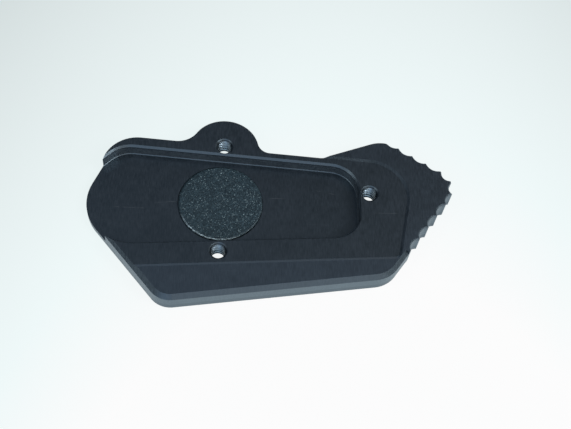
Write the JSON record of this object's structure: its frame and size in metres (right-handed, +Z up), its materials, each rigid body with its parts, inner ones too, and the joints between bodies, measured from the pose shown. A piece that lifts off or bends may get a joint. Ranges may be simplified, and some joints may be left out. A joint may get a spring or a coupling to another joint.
{
  "type": "side stand foot enlarger plate",
  "caption": "Flat aluminium plate with a tapered pocket for a side stand's foot, tapped clamp holes, a scalloped wing and a round grit pad.",
  "frame": {"origin": "on the underside, straight below the centre of the round grit pad", "axes": "+X along the pocket from its open mouth to its closed end, +Z up out of the pocket"},
  "size_m": [0.1098, 0.0608, 0.0068],
  "materials": {
    "anodised_plate": "black anodised over a fine brushed grain",
    "grit_pad": "rough dark grit with pale specks"
  },
  "bodies": {
    "root": {"base_plate": "anodised_plate", "grip_pad": "grit_pad"}
  },
  "joints": []
}
